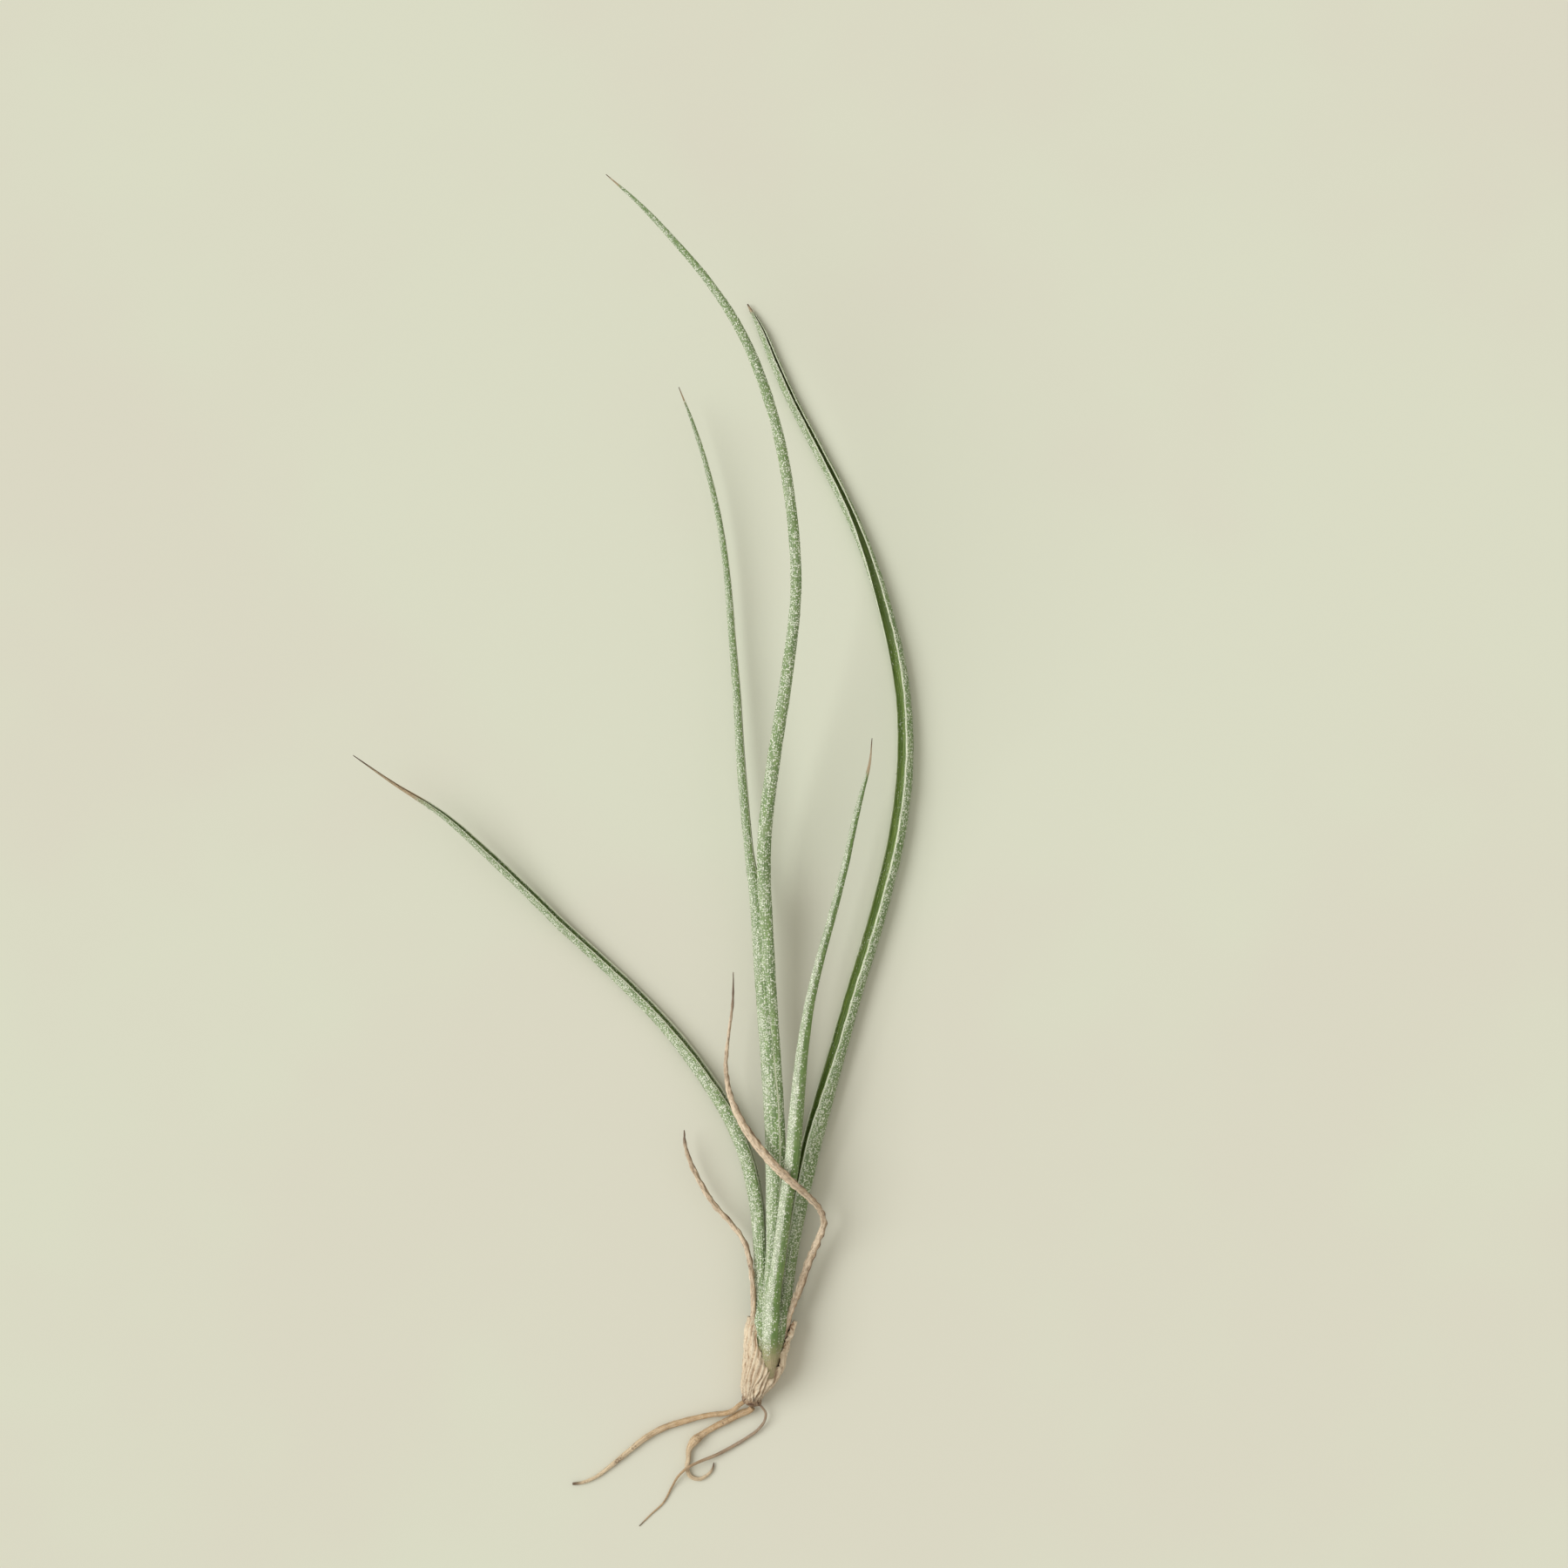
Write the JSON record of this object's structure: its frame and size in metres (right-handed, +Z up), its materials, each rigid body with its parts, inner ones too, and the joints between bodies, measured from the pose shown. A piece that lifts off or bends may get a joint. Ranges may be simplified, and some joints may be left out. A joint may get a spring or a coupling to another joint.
{
  "type": "air plant",
  "caption": "Small air plant lying flat: long curling silvery-green channelled leaves, dry lower leaves, papery sheaths and wiry roots at a knobbed stem base.",
  "frame": {"origin": "middle of the plant's outline on the surface that it lies on", "axes": "+Y from the roots to the leaf tips, +Z up from the surface, +X to the right seen from above"},
  "size_m": [0.0891, 0.2141, 0.0265],
  "materials": {
    "leaf_silver": "matte, covered in silvery scales",
    "leaf_green": "matte, part silvery and part bare green",
    "dry_leaf": "dry, matte, wrinkled",
    "papery_sheath": "dry, papery, ribbed",
    "root": "dry, matte, fibrous",
    "stem_base": "dry, matte, dark"
  },
  "bodies": {
    "root": {"leaf_left": "leaf_silver", "leaf_slender": "leaf_silver", "leaf_tall": "leaf_silver", "leaf_front": "leaf_silver", "leaf_right": "leaf_green", "dry_leaf_right": "dry_leaf", "dry_leaf_left": "dry_leaf", "sheath_left": "papery_sheath", "sheath_right": "papery_sheath", "root_long": "root", "root_knotted": "root", "root_thin": "root", "stem_base": "stem_base"}
  },
  "joints": []
}
